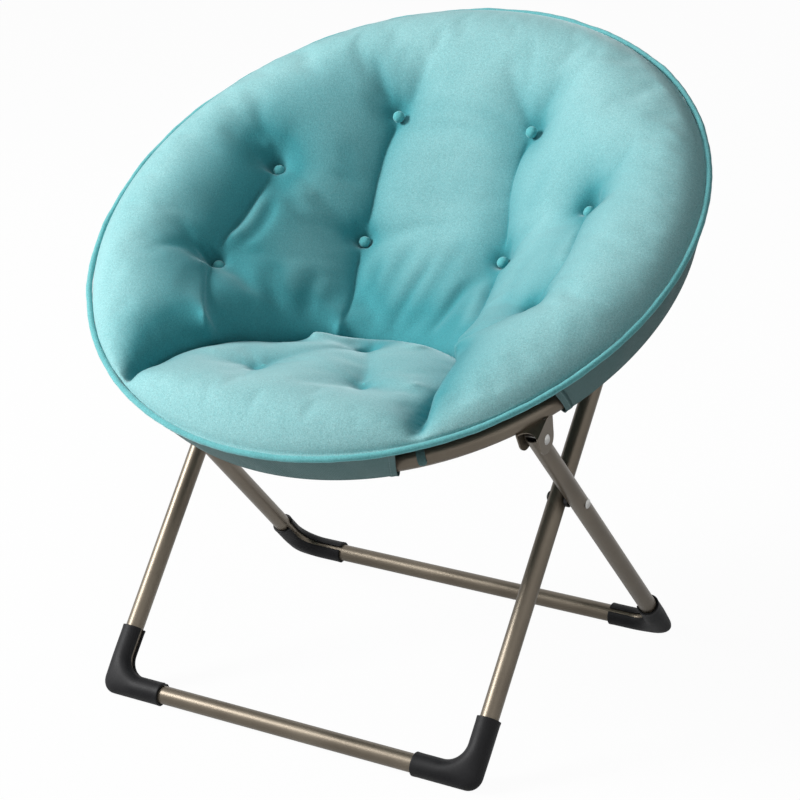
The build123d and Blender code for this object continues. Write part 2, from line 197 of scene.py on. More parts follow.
def suede(name, deep, lit, grain=1.0):
    """Short velvet: a fine nap, patches brushed one way or the other, and a pale sheen.

    Where the cloth is drawn into a tuft, a valley, the crease or a fold, on the bowl's left wall
    and at the foot of the back, the colour is mixed towards a deeper teal: painted shade.
    """
    finish = Finish(name)
    patches = finish.noise(26.0, 4.0, 0.55)
    brushed = finish.noise(9.0, 2.0)
    nap = finish.noise(760.0, 2.0, 0.65)
    specks = finish.noise(330.0, 3.0, 0.7)
    shade = 0.2 * patches + 0.2 * brushed + 0.6 * specks
    tone = finish.mix(finish.span(shade), deep, lit)
    # painted shade: the colour is mixed towards the deeper teal by the cushion's per-point shade
    # attribute
    painted_shade = finish.node("ShaderNodeAttribute", {"attribute_name": "painted_shade"}, out="Fac")
    tone = finish.mix(finish.span(painted_shade, 0.12, 1.0, 0.0, 0.85), tone, PAINTED_SHADE_TEAL)
    fleck = finish.span(nap, 0.3, 0.75, 0.77, 1.17)
    tinted = finish.node(
        "ShaderNodeVectorMath", {"operation": "SCALE"}, {"Vector": tone, "Scale": fleck}
    )
    height = nap * 0.6 + specks * 0.5 + patches * 0.5
    return finish.surface(
        Base_Color=tinted,
        Roughness=finish.span(patches, 0.3, 0.7, 0.82, 0.95),
        Specular_IOR_Level=0.08,
        Sheen_Weight=0.6,
        Sheen_Roughness=0.42,
        Sheen_Tint=(0.82, 0.98, 1.0, 1.0),
        Normal=finish.bump(height, 0.0006 * grain, 0.9),
    )


def lining_cloth(name, dark, pale):
    """Plain weave: threads over and under each other every 0.9 mm, with slubs and faint soil."""
    finish = Finish(name)
    flat = finish.node("ShaderNodeUVMap", {"uv_map": "cloth"})
    warp = finish.along(flat, 0).wave(THREAD_PITCH)
    weft = finish.along(flat, 1).wave(THREAD_PITCH)
    threads = 0.5 + 0.5 * (warp * weft)
    slubs = finish.noise(420.0, 3.0, 0.6, stretch=(1.0, 1.0, 0.35))
    wear = finish.noise(22.0, 3.0)
    shade = 0.45 * threads + 0.35 * slubs + 0.2 * wear
    return finish.surface(
        Base_Color=finish.mix(finish.span(shade, 0.25, 0.75), dark, pale),
        Roughness=0.88,
        Specular_IOR_Level=0.12,
        Sheen_Weight=0.14,
        Sheen_Roughness=0.5,
        Normal=finish.bump(threads * 0.7 + slubs * 0.6, 0.0004),
    )


def powder_coat():
    """Satin bronze powder coat: a fine orange peel, slight cloudiness and rubbed patches."""
    finish = Finish("frame_paint")
    cloud = finish.noise(14.0, 3.0)
    peel = finish.noise(900.0, 2.0, 0.5)
    grain = finish.noise(2600.0, 1.0)
    shade = finish.span(cloud * 0.6 + grain * 0.4, 0.35, 0.65)
    return finish.surface(
        Base_Color=finish.mix(shade, (0.122, 0.100, 0.074), (0.170, 0.143, 0.108)),
        Metallic=0.7,
        Roughness=finish.span(cloud, 0.3, 0.7, 0.34, 0.43),
        Coat_Weight=0.12,
        Coat_Roughness=0.3,
        Normal=finish.bump(peel * 0.7 + grain * 0.4, 0.00012),
    )


def boot_plastic():
    """Black moulded plastic: a fine spark grain, duller and paler where it rubs the floor."""
    finish = Finish("boot_plastic")
    grain = finish.noise(1700.0, 3.0, 0.6)
    cloud = finish.noise(30.0, 3.0)
    low = finish.span(finish.along(finish.place(), 2), 0.012, 0.0)
    scuff = low * finish.span(finish.noise(160.0, 4.0), 0.45, 0.7)
    base = finish.mix(finish.span(cloud), (0.006, 0.006, 0.007), (0.013, 0.013, 0.014))
    return finish.surface(
        Base_Color=finish.mix(scuff * 0.6, base, (0.055, 0.053, 0.050)),
        Roughness=finish.span(cloud, 0.3, 0.7, 0.46, 0.60) + scuff * 0.25,
        Specular_IOR_Level=0.17,
        Normal=finish.bump(grain, 0.00018, 0.8),
    )


def plain_plastic():
    """The smoother black plastic of the spacers."""
    finish = Finish("spacer_plastic")
    cloud = finish.noise(120.0, 3.0)
    shade = finish.span(cloud)
    return finish.surface(
        Base_Color=finish.mix(shade, (0.008, 0.008, 0.009), (0.018, 0.018, 0.019)),
        Roughness=finish.span(cloud, 0.3, 0.7, 0.36, 0.48),
        Normal=finish.bump(finish.noise(1500.0), 0.0001),
    )


def plated_steel(name, dark, pale, roughness):
    """Bright zinc plate: fine turning marks, small pits and a faint tarnish."""
    finish = Finish(name)
    tarnish = finish.noise(90.0, 4.0)
    marks = finish.noise(1200.0, 3.0, stretch=(0.2, 1.0, 1.0))
    shade = tarnish * 0.6 + marks * 0.4
    return finish.surface(
        Base_Color=finish.mix(finish.span(shade, 0.35, 0.68), dark, pale),
        Metallic=1.0,
        Roughness=finish.span(shade, 0.3, 0.7, roughness, roughness + 0.16),
        Normal=finish.bump(marks, 0.00006),
    )


def stitch_thread():
    """Twisted thread of the hems."""
    finish = Finish("hem_thread")
    twist = finish.noise(2400.0, 2.0)
    return finish.surface(
        Base_Color=finish.mix(twist, (0.16, 0.26, 0.27), (0.34, 0.47, 0.47)),
        Roughness=0.7,
        Normal=finish.bump(twist, 0.0001),
    )


# -------- meshes
def ring_place(x, v, n):
    """Ring coordinates in millimetres to points of the chair in metres."""
    x, v, n = np.broadcast_arrays(x, v, n)
    spread = x[..., None] * ACROSS + v[..., None] * UP_SLOPE + n[..., None] * OFF_RING
    return RING_CENTRE + spread / 1000.0


def turned_place(angle, radius, height):
    """A place given by its angle about the ring's axis, its radius and its height."""
    return ring_place(radius * np.cos(angle), radius * np.sin(angle), height)


def make_piece(name, points, faces, material, cloth=None):
    """A smooth-shaded object at the origin; cloth holds a flat place in metres for each corner."""
    mesh = bpy.data.meshes.new(name)
    mesh.from_pydata(points.reshape(-1, 3).tolist(), [], faces)
    mesh.polygons.foreach_set("use_smooth", np.ones(len(mesh.polygons), dtype=bool))
    if cloth is not None:
        layer = mesh.uv_layers.new(name="cloth")
        layer.data.foreach_set("uv", cloth.astype(np.float32).ravel())
    mesh.materials.append(material)
    mesh.update()
    return stand(name, mesh)


def grid_faces(rows, columns, close_rows=False, close_columns=False):
    """The four corners of every cell of a grid, as row and column numbers."""
    row, column = np.meshgrid(
        np.arange(rows if close_rows else rows - 1),
        np.arange(columns if close_columns else columns - 1),
        indexing="ij",
    )
    row, column = row.ravel(), column.ravel()
    corner_rows = np.stack((row, row, row + 1, row + 1), axis=1)
    corner_columns = np.stack((column, column + 1, column + 1, column), axis=1)
    return corner_rows, corner_columns


def grid_piece(name, points, material, closed=(False, False), flip=False, size=None):
    """A grid of points as a surface; size is the cloth's (rows, columns) length in metres."""
    rows, columns = points.shape[:2]
    corner_rows, corner_columns = grid_faces(rows, columns, *closed)
    if flip:
        corner_rows, corner_columns = corner_rows[:, ::-1], corner_columns[:, ::-1]
    faces = (corner_rows % rows) * columns + corner_columns % columns
    cloth = None
    if size:
        across, along = corner_rows * size[0] / rows, corner_columns * size[1] / columns
        cloth = np.stack((across, along), axis=2)
    return make_piece(name, points, faces.tolist(), material, cloth)


def solid_wall(piece, thickness):
    """Give a surface its thickness, on its inner side."""
    settle(piece.modifiers.new("wall", "SOLIDIFY"), thickness=thickness, offset=-1.0)


def finer(piece):
    """Round a mesh off by one subdivision."""
    settle(piece.modifiers.new("finer", "SUBSURF"), levels=1, render_levels=1)


# -------- cushion
# tufts in ring coordinates: across, up the slope, height of the tuft's floor
BACK_TUFTS = np.array(((-95, 198, 15), (95, 198, 15), (-219, 85, 6), (219, 85, 6)), float)
SEAT_TUFTS = np.array(
    ((-99, 53, -69), (99, 53, -69), (-219, -84, 0), (219, -84, 0)), float
)
PAD_TUFTS = np.array(((-69, -232, 17), (69, -232, 17), (0, -125, -62)), float)
PAD_BUTTONS = PAD_TUFTS - (0, 0, 14)
TUFTS = np.concatenate((BACK_TUFTS, SEAT_TUFTS, PAD_TUFTS))

# the deep crease round the back of the seat pad, from rim to rim: across, up the slope, height
CREASE = np.array(
    (
        (192, -319, 57), (184, -298, 46), (175, -277, 33), (168, -254, 19),
        (162, -228, 4), (157, -201, -12), (152, -175, -27), (145, -150, -42),
        (133, -128, -57), (111, -111, -68), (80, -98, -77), (45, -89, -82),
        (0, -84, -85), (-45, -93, -81), (-90, -118, -69), (-124, -151, -46),
        (-148, -180, -20), (-165, -210, -1), (-178, -235, 13), (-190, -268, 25),
        (-196, -302, 42), (-188, -334, 57),
    ),
    float,
)

# valleys: across, up the slope, depth under the pillows. The first eight are the long ones,
# whose lips lean over them; the rest are short, and most fade out from a tuft.
LONG_VALLEYS = 8
VALLEYS = (
    ((-95, 198, 26), (-101, 164, 21), (-102, 124, 18), (-99, 84, 21), (-99, 53, 26)),
    ((-99, 53, 26), (-85, 2, 22), (-68, -46, 20), (-60, -94, 18)),
    ((95, 198, 26), (84, 171, 21), (81, 141, 18), (91, 93, 21), (99, 53, 26)),
    ((99, 53, 26), (108, -6, 22), (119, -50, 20), (128, -88, 20), (138, -130, 18)),
    ((219, 85, 26), (225, 29, 19), (233, -27, 16), (219, -84, 24)),
    ((219, -84, 24), (205, -108, 18), (183, -128, 15), (150, -152, 15)),
    ((-219, 85, 26), (-217, 32, 23), (-218, -11, 22), (-219, -50, 24), (-219, -84, 26)),
    ((-219, -84, 26), (-206, -112, 21), (-190, -140, 17), (-160, -198, 13)),
    ((-219, 85, 24), (-237, 108, 14), (-258, 140, 5)),
    ((-219, -84, 26), (-242, -98, 16), (-272, -124, 5)),
    ((-219, -84, 24), (-243, -74, 14), (-268, -62, 4)),
    ((-95, 198, 24), (-117, 218, 16), (-142, 250, 5)),
    ((-95, 198, 24), (-76, 228, 13), (-68, 262, 3)),
    ((95, 198, 24), (70, 224, 13), (46, 254, 3)),
    ((95, 198, 24), (110, 224, 14), (128, 258, 4)),
    ((219, 85, 24), (242, 104, 14), (262, 146, 4)),
    ((219, -84, 24), (244, -88, 12), (268, -108, 3)),
    ((-99, 53, 24), (-124, 58, 14), (-158, 64, 4)),
    ((99, 53, 24), (124, 62, 14), (164, 76, 4)),
    ((-69, -232, 20), (-46, -192, 12), (-20, -152, 13), (0, -125, 26)),
    ((69, -232, 20), (48, -190, 12), (22, -152, 13), (0, -125, 26)),
    ((-69, -232, 20), (-100, -238, 11), (-134, -222, 3)),
    ((-69, -232, 20), (-56, -266, 7), (-46, -290, 2)),
    ((69, -232, 20), (98, -238, 11), (128, -222, 3)),
    ((69, -232, 20), (50, -254, 8), (24, -268, 2)),
    ((0, -125, 26), (-34, -118, 12), (-70, -124, 3)),
    ((0, -125, 26), (34, -118, 12), (70, -124, 3)),
)

# soft wrinkles: line, half width, depth (a negative depth is a raised fold). Narrower ones get
# painted shade in a fold and painted light on a raised fold; those wider than BROAD are dips,
# which get neither.
BROAD = 20.0
WRINKLES = (
    (((-18, 84), (-26, 10), (-30, -76)), 11.0, 3.2),
    (((14, 60), (6, -10), (2, -78)), 8.0, 4.2),
    (((44, 100), (34, 10), (30, -78)), 12.0, 3.4),
    (((72, 40), (66, -20), (60, -82)), 9.0, 4.2),
    (((-62, 50), (-50, 0), (-44, -70)), 10.0, 4.0),
    (((-92, 190), (-46, 208), (23, 210), (92, 190)), 7.0, 2.4),
    (((-88, 178), (-40, 190), (30, 190), (84, 178)), 8.0, 2.0),
    (((-132, -196), (-96, -160), (-50, -128), (14, -108)), 24.0, 9.0),
    (((-206, 66), (-203, 20), (-205, -40), (-211, -70)), 5.5, -8.0),
    (((-196, 48), (-192, 14), (-194, -36), (-202, -62)), 4.5, 4.0),
    (((-156, -30), (-150, -76), (-126, -116)), 13.0, 5.0),
    (((-120, -10), (-114, -60), (-96, -98)), 11.0, 3.4),
    (((-196, -40), (-182, -84), (-150, -120)), 12.0, 2.6),
    (((212, 60), (216, 14), (224, -30)), 6.0, -3.4),
    (((84, 30), (96, -24), (112, -86)), 6.5, -4.4),
    (((160, 40), (170, -30), (176, -90)), 12.0, 2.6),
    (((-150, 150), (-136, 120), (-128, 90)), 13.0, 2.6),
    (((150, 150), (138, 110), (130, 84)), 13.0, 2.6),
    (((-40, 150), (0, 120), (44, 150)), 16.0, 1.6),
)


def smooth_profile(at, knots, heights):
    """A smooth curve through knots: cubic pieces with slopes taken from their neighbours."""
    knots, heights = np.asarray(knots, float), np.asarray(heights, float)
    slopes = np.gradient(heights, knots)
    at = np.clip(at, knots[0], knots[-1])
    cell = np.clip(np.searchsorted(knots, at, side="right") - 1, 0, len(knots) - 2)
    width = knots[cell + 1] - knots[cell]
    t = (at - knots[cell]) / width
    first, second = heights[cell], heights[cell + 1]
    bent = (1 + 2 * t) * (1 - t) ** 2 * first + t * t * (3 - 2 * t) * second
    return bent + width * (t * (1 - t) ** 2 * slopes[cell] - t * t * (1 - t) * slopes[cell + 1])


def smooth_line(points, spacing=9.0):
    """A line of points eased into a curve: each value is a smooth profile over its length."""
    points = np.asarray(points, float)
    run = np.hypot(*np.diff(points[:, :2], axis=0).T)
    length = np.concatenate(([0.0], np.cumsum(run)))
    at = np.linspace(0.0, length[-1], max(int(length[-1] / spacing), 3))
    return np.stack([smooth_profile(at, length, value) for value in points.T], axis=1)


def along_line(x, v, line):
    """Each place's distance from a line of points, the line's third value there and its share.

    Each run of the line takes the foot of the perpendicular, kept between its ends. The last
    two results are the steps across and up that lead from the place to that foot.
    """
    line = smooth_line(line)
    start, step = line[:-1], np.diff(line, axis=0)
    reach = (step[:, :2] ** 2).sum(axis=1)
    dx, dv = x[..., None] - start[:, 0], v[..., None] - start[:, 1]
    share = np.clip((dx * step[:, 0] + dv * step[:, 1]) / reach, 0.0, 1.0)
    distance = np.hypot(dx - share * step[:, 0], dv - share * step[:, 1])
    nearest = distance.argmin(axis=-1)[..., None]
    share = np.take_along_axis(share, nearest, axis=-1)[..., 0]
    nearest = nearest[..., 0]
    third = start[nearest, -1] + share * step[nearest, -1]
    across = start[nearest, 0] + share * step[nearest, 0] - x
    up = start[nearest, 1] + share * step[nearest, 1] - v
    return distance.min(axis=-1), third, (nearest + share) / len(step), across, up


def within(x, v, outline):
    """Whether each place is inside a closed outline, by counting the edges that a ray crosses."""
    first, second = outline, np.roll(outline, -1, axis=0)
    spans = (first[:, 1] > v[..., None]) != (second[:, 1] > v[..., None])
    slope = (second[:, 0] - first[:, 0]) / (second[:, 1] - first[:, 1] + 1e-9)
    crossing = first[:, 0] + (v[..., None] - first[:, 1]) * slope
    return (spans & (x[..., None] < crossing)).sum(axis=-1) % 2 == 1


def smooth_step(value):
    """0 below 0, 1 above 1, and 3 t t - 2 t t t between."""
    value = np.clip(value, 0.0, 1.0)
    return value * value * (3.0 - 2.0 * value)


# the bowl's section: radius and height; the seat pad's height over the floor, its dome and how
# softly it meets the rim; two places before the ring that close the crease's outline
BOWL_RADII = (0, 40, 80, 112, 150, 190, 234, 262, 290, 315, 337, 352, 362, 368, 371, 380)
BOWL_HEIGHTS = (-60, -56, -45, -31, -9, 19, 50, 66, 76.5, 79.5, 77, 71, 64, 58, 54, 50)
PAD_LEVEL, PAD_DOME, PAD_ROUNDING = 438.0, 4.0, 5.0
IN_FRONT = ((-190, -420, 0), (166, -420, 0))


def pillow_height(x, v):
    """Height of the pillows without their tufts.

    A profile turned about the ring's axis gives the rolled rim and the bowl. Inside the crease
    the seat pad takes over: nearly level, a little domed, and rolled down at the front, where
    it is the smooth minimum of its own height and the rim's.
    """
    radius = np.hypot(x, v)
    bowl = smooth_profile(radius, BOWL_RADII, BOWL_HEIGHTS)
    level = PAD_LEVEL + PAD_DOME * np.exp(-((x / 150.0) ** 2) - ((v + 200.0) / 90.0) ** 2)
    pad = (level - RING_HEIGHT - TILT_RISE * v) / TILT_RUN
    rim = bowl + 3.0 * smooth_step((360.0 - radius) / 40.0)
    pad = -PAD_ROUNDING * np.logaddexp(-pad / PAD_ROUNDING, -rim / PAD_ROUNDING)
    outline = np.concatenate((smooth_line(CREASE), IN_FRONT))[:, :2]
    return np.where(within(x, v, outline), pad, bowl)


def painted_wall_shade(x, v):
    """Painted shade where the bowl's wall faces away from the key lamp and at the foot of the
    back:
    smooth steps over a band of radii towards one side, and towards the foot of the back.
    """
    radius = np.hypot(x, v)
    wall = smooth_step((radius - 60.0) / 80.0) * smooth_step((330.0 - radius) / 70.0)
    side = smooth_step((-x - 70.0) / 130.0) * smooth_step((v + 230.0) / 90.0)
    panel = smooth_step((130.0 - np.abs(x)) / 60.0) * smooth_step((90.0 - v) / 130.0)
    return 0.42 * wall * side + 0.30 * panel * smooth_step((v + 105.0) / 15.0)


# how far a tuft's pull reaches in the open, beside a valley and beside the crease, in
# millimetres; the held spot of a tuft; and how the grid is solved
OPEN_FADE, VALLEY_FADE, CREASE_FADE = 46.0, 24.0, 17.0
TUFT_RADIUS = 9.4
SWEEPS, RELAXATION = 260, 1.82


def tufted_height(spacing=4.0):
    """Height of the cushion's face on a square grid over the ring.

    The pull of the tufts fades with distance as a skin on soft foam does: its curvature is the
    pull divided by the square of a length, which is short beside the crease and longer in the
    open. Over-relaxation on the two colours of a chessboard solves that on the whole grid.
    The results are the grid's line, the heights, and a painted shade from 0 to 1, darkest where
    the tufts pull the cloth down most.
    """
    line = np.arange(-384.0, 384.1, spacing)
    x, v = np.meshgrid(line, line, indexing="ij")
    free = pillow_height(x, v)
    pull = np.zeros_like(free)
    fixed = np.hypot(x, v) > SEAM_RADIUS - 2.0
    from_crease, bottom = along_line(x, v, CREASE)[:2]
    near = smooth_step((50.0 - from_crease) / 44.0)
    beside = CREASE_FADE - 4.5 * smooth_step((x - 70.0) / 50.0)
    length = OPEN_FADE * (1 - near) + beside * near
    for valley in VALLEYS:
        distance, depth = along_line(x, v, valley)[:2]
        widening = smooth_step((distance - 8.0) / 36.0)
        length = np.minimum(length, VALLEY_FADE + (OPEN_FADE - VALLEY_FADE) * widening)
        held = (distance < 2.6) & ~fixed
        pull[held] = np.minimum(pull[held], -depth[held])
        fixed |= held
    for across, up, height in TUFTS:
        held = np.hypot(x - across, v - up) < TUFT_RADIUS
        pull[held] = height - free[held]
        fixed |= held
    held = (from_crease < 5.2) & (np.hypot(x, v) < SEAM_RADIUS - 6.0)
    pull[held] = bottom[held] - free[held]
    fixed |= held
    chess = (np.indices(free.shape).sum(axis=0)) % 2
    share = 1.0 / (4.0 + (spacing / length) ** 2)
    for _ in range(SWEEPS):
        for colour in (0, 1):
            around = np.zeros_like(pull)
            around[1:-1, 1:-1] = pull[2:, 1:-1] + pull[:-2, 1:-1]
            around[1:-1, 1:-1] += pull[1:-1, 2:] + pull[1:-1, :-2]
            moved = pull + RELAXATION * (around * share - pull)
            pull = np.where((chess == colour) & ~fixed, moved, pull)
    # painted shade: darker the further the tufts, valleys and crease pull the cloth down, with
    # more on the bowl's left wall and at the foot of the back
    height, painted_shade = free + pull, np.clip(-pull / 21.0, 0.0, 1.0) + painted_wall_shade(x, v)
    for wrinkle, width, depth in WRINKLES:
        flat = np.column_stack((wrinkle, np.zeros(len(wrinkle))))
        distance, _, along = along_line(x, v, flat)[:3]
        ends = smooth_step(along / 0.4) * smooth_step((1.0 - along) / 0.25)
        fold = ends * np.exp(-((distance / width) ** 2))
        height -= depth * fold
        # painted shade along narrow folds, and painted light along narrow raised folds
        painted_shade += 0.05 * depth * fold * (width < BROAD)
    for number, (across, up, _) in enumerate(TUFTS):
        away, turn = np.hypot(x - across, v - up), np.arctan2(v - up, x - across)
        pleats = np.cos(6 * turn + 1.7 * number) + 0.6 * np.cos(9 * turn + 2.3 * number)
        height += 1.1 * pleats * smooth_step((away - 6.0) / 8.0) * np.exp(-away / 24.0)
    return line, height, np.clip(painted_shade, 0.0, 1.0)


def overhang(x, v):
    """How far the pillows lean over the crease and the valleys, across and up, in millimetres.

    A point at a distance d moves towards the line by most * (d / d0) * exp(1 - d / d0), so the
    line itself stays and the lips beside it close over it.
    """
    lean_x, lean_v = np.zeros_like(x), np.zeros_like(v)
    lines = [(CREASE, 9.5, 10.0)]
    lines += [(np.asarray(valley, float), 4.0, 8.0) for valley in VALLEYS[:LONG_VALLEYS]]
    inside = np.hypot(x, v) < SEAM_RADIUS - 0.5
    for path, most, peak in lines:
        distance, _, along, across, up = along_line(x, v, path)
        ends = smooth_step(along / 0.2) * smooth_step((1.0 - along) / 0.2)
        share = most * ends / peak * np.exp(1.0 - distance / peak) * inside
        lean_x += share * across
        lean_v += share * up
    return lean_x, lean_v


def read_grid(line, grid, x, v):
    """The grid's value at any place, between its four nearest cells."""
    spacing = line[1] - line[0]
    row, column = (x - line[0]) / spacing, (v - line[0]) / spacing
    i = np.clip(row.astype(int), 0, len(line) - 2)
    j = np.clip(column.astype(int), 0, len(line) - 2)
    a, b = row - i, column - j
    near = grid[i, j] * (1 - b) + grid[i, j + 1] * b
    far = grid[i + 1, j] * (1 - b) + grid[i + 1, j + 1] * b
    return near * (1 - a) + far * a


# the underside's section: radius and height
UNDER_RADII = (0, 60, 112, 175, 234, 290, 318, 329.5, 336, 344, 352.4, 360, 366, 370, 372.2)
UNDER_HEIGHTS = (-129, -121, -97, -62, -20, 5, 6.5, 8.4, 14.8, 18.5, 25, 33, 40.5, 45.5, 48.8)

# the underside's rings as shares of the seam's radius, and those with half the points of the last
UNDER_RINGS = (0.996, 0.985, 0.968, 0.945, 0.925, 0.905, 0.88, 0.80, 0.70, 0.56, 0.42, 0.28, 0.14)
HALVED_RINGS = (0.88, 0.70, 0.42, 0.28, 0.14)


def under_height(radius):
    """Height of the cushion's underside: a bowl that rests on the ring's sleeves."""
    return smooth_profile(radius, UNDER_RADII, UNDER_HEIGHTS)


def cushion_mesh(material, cells=153):
    """The face on a square grid bent to a disc, and an underside of rings that close on a pole.

    The square's place (s, t) goes to (s sqrt(1 - t t / 2), t sqrt(1 - s s / 2)) on the disc.
    Five of the rings have half the points of the ring outside them. The results are the piece,
    its places in ring coordinates, and how many of them belong to the face.
    """
    step = np.linspace(-1.0, 1.0, cells)
    s, t = np.meshgrid(step, step, indexing="ij")
    x = SEAM_RADIUS * s * np.sqrt(1 - t * t / 2)
    v = SEAM_RADIUS * t * np.sqrt(1 - s * s / 2)
    line, grid, painted_shade = tufted_height()
    over_x, over_v = overhang(x, v)
    top = np.stack((x + over_x, v + over_v, read_grid(line, grid, x, v)), axis=-1).reshape(-1, 3)
    number = np.arange(cells * cells).reshape(cells, cells)
    loop = np.concatenate((number[:-1, 0], number[-1, :-1], number[:0:-1, -1], number[0, :0:-1]))
    top[loop, 2] = PIPING_HEIGHT - 0.4
    corner_rows, corner_columns = grid_faces(cells, cells)
    faces = (corner_rows * cells + corner_columns)[:, ::-1].tolist()
    rim = top[loop, :2]
    places, total = [top], len(top)
    for share in UNDER_RINGS:
        halved = share in HALVED_RINGS
        rim = rim[::2] if halved else rim
        ring = total + np.arange(len(rim))
        level = np.full(len(rim), under_height(SEAM_RADIUS * share))
        places.append(np.column_stack((rim * share, level)))
        total += len(rim)
        near, far = np.roll(ring, -1), np.roll(loop, -1)
        if halved:
            band = (loop[::2], loop[1::2], far[1::2], near, ring)
        else:
            band = (loop, far, near, ring)
        faces += np.stack(band, axis=1).tolist()
        loop = ring
    places.append(np.array(((0.0, 0.0, under_height(0.0)),)))
    fan = np.stack((loop, np.roll(loop, -1), np.full(len(loop), total)), axis=1)
    faces += fan.tolist()
    places = np.concatenate(places)
    piece = make_piece("cushion", ring_place(*places.T), faces, material)
    # painted shade for each point of the face, stored as a point attribute that the suede reads;
    # the underside gets none
    nap = np.zeros(len(places))
    nap[: len(top)] = read_grid(line, painted_shade, x, v).ravel()
    layer = piece.data.attributes.new("painted_shade", "FLOAT", "POINT")
    layer.data.foreach_set("value", nap.astype(np.float32))
    return piece, places, len(top)


def pinned_share(places, face_count):
    """How firmly the seam, underside, tufts, crease and valleys hold each point, from 0 to 1."""
    x, v = places[:, 0], places[:, 1]
    held = np.zeros(len(places))
    held[face_count:] = 1.0
    held = np.maximum(held, smooth_step((np.hypot(x, v) - SEAM_RADIUS + 24.0) / 18.0))
    distance = along_line(x, v, CREASE)[0]
    held = np.maximum(held, smooth_step((9.0 - distance) / 5.0))
    for valley in VALLEYS:
        distance, depth = along_line(x, v, valley)[:2]
        firm = smooth_step((6.5 - distance) / 4.0) * np.clip(depth / 12.0, 0.0, 1.0)
        held = np.maximum(held, firm)
    for across, up, _ in TUFTS:
        away = np.hypot(x - across, v - up)
        held = np.maximum(held, smooth_step((15.0 - away) / 6.0))
    return held


SWELL_FRAMES = 20
SWELL = {
    "quality": 6,
    "mass": 0.25,
    "tension_stiffness": 14.0,
    "compression_stiffness": 9.0,
    "shear_stiffness": 5.0,
    "bending_stiffness": 0.6,
    "use_pressure": True,
    "uniform_pressure_force": 4.0,
    "shrink_min": -0.012,
    "vertex_group_mass": "sewn",
}


def swell(piece, places, face_count, most=0.013):
    """Fill the cushion: cloth with air in it, held where it is sewn, and no point moved far."""
    mesh = piece.data
    before = np.empty(len(mesh.vertices) * 3)
    mesh.vertices.foreach_get("co", before)
    before = before.reshape(-1, 3)
    group = piece.vertex_groups.new(name="sewn")
    held = pinned_share(places, face_count)
    for level in np.unique(np.round(held[held > 0.02], 1)):
        chosen = np.flatnonzero((np.round(held, 1) == level) & (held > 0.02))
        group.add(chosen.tolist(), float(max(level, 0.05)), "REPLACE")
    cloth = piece.modifiers.new("swell", "CLOTH")
    settle(cloth.settings, **SWELL).effector_weights.gravity = 0.0
    cloth.collision_settings.use_collision = False
    scene = bpy.context.scene
    for number in range(1, SWELL_FRAMES + 1):
        scene.frame_set(number)
    swollen = piece.evaluated_get(bpy.context.evaluated_depsgraph_get())
    after = np.empty(len(mesh.vertices) * 3)
    swollen.to_mesh().vertices.foreach_get("co", after)
    moved = after.reshape(-1, 3) - before
    swollen.to_mesh_clear()
    piece.modifiers.remove(cloth)
    piece.vertex_groups.clear()
    scene.frame_set(1)
    length = np.linalg.norm(moved, axis=1)
    moved *= (most * np.tanh(length / most) / np.maximum(length, 1e-9))[:, None]
    moved = evened(mesh, moved, 4)
    mesh.vertices.foreach_set("co", (before + moved).ravel())
    mesh.update()


def evened(mesh, moved, times):
    """Each point's move becomes half its own and half its neighbours' mean, a few times over."""
    edges = np.empty(len(mesh.edges) * 2, dtype=int)
    mesh.edges.foreach_get("vertices", edges)
    one, two = edges.reshape(-1, 2).T
    count = np.bincount(np.concatenate((one, two)), minlength=len(moved))[:, None]
    for _ in range(times):
        total = np.zeros_like(moved)
        for axis in range(3):
            total[:, axis] += np.bincount(one, moved[two, axis], minlength=len(moved))
            total[:, axis] += np.bincount(two, moved[one, axis], minlength=len(moved))
        moved = 0.5 * moved + 0.5 * total / count
    return moved


WIDE_BEND, SLEEVE_BEND = 85.0, 50.0


def hinge_blend(piece, reach):
    """Bake a sewn piece's place into its mesh; where the ring folds is worked out from reach but
    not used, so nothing bends.
    """
    start = ring_place(0.0, HINGE_UP - reach, 0.0)
    end = ring_place(0.0, HINGE_UP + reach, 0.0)
    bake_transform(piece)


def add_cushion(material):
    """The tufted cushion, swollen and rounded off."""
    piece, places, face_count = cushion_mesh(material)
    swell(piece, places, face_count)
    finer(piece)
    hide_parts("cushion_seat", "cushion_back")
    hinge_blend(piece, WIDE_BEND)


def add_piping(material):
    """The corded edge: a round section carried round the rim, with a slight wander."""
    angle = np.linspace(0, FULL_TURN, 720, endpoint=False)[:, None]
    turn = np.linspace(0, FULL_TURN, 14, endpoint=False)[None, :]
    wander = 0.45 * np.sin(9 * angle + 0.6) + 0.35 * np.sin(23 * angle)
    wander += 0.25 * np.sin(41 * angle + 2)
    cord = 3.7 + 0.12 * np.sin(57 * angle) + 0.1 * np.sin(131 * angle + 1)
    radius = PIPING_RADIUS + 0.4 * wander + cord * np.cos(turn)
    height = PIPING_HEIGHT + wander + cord * np.sin(turn)
    points = turned_place(angle, radius, height)
    piece = grid_piece("piping", points, material, closed=(True, True), flip=True)
    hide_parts("piping_seat", "piping_back")
    hinge_blend(piece, WIDE_BEND)


BUTTON_ROWS, BUTTON_SIDES = 9, 28


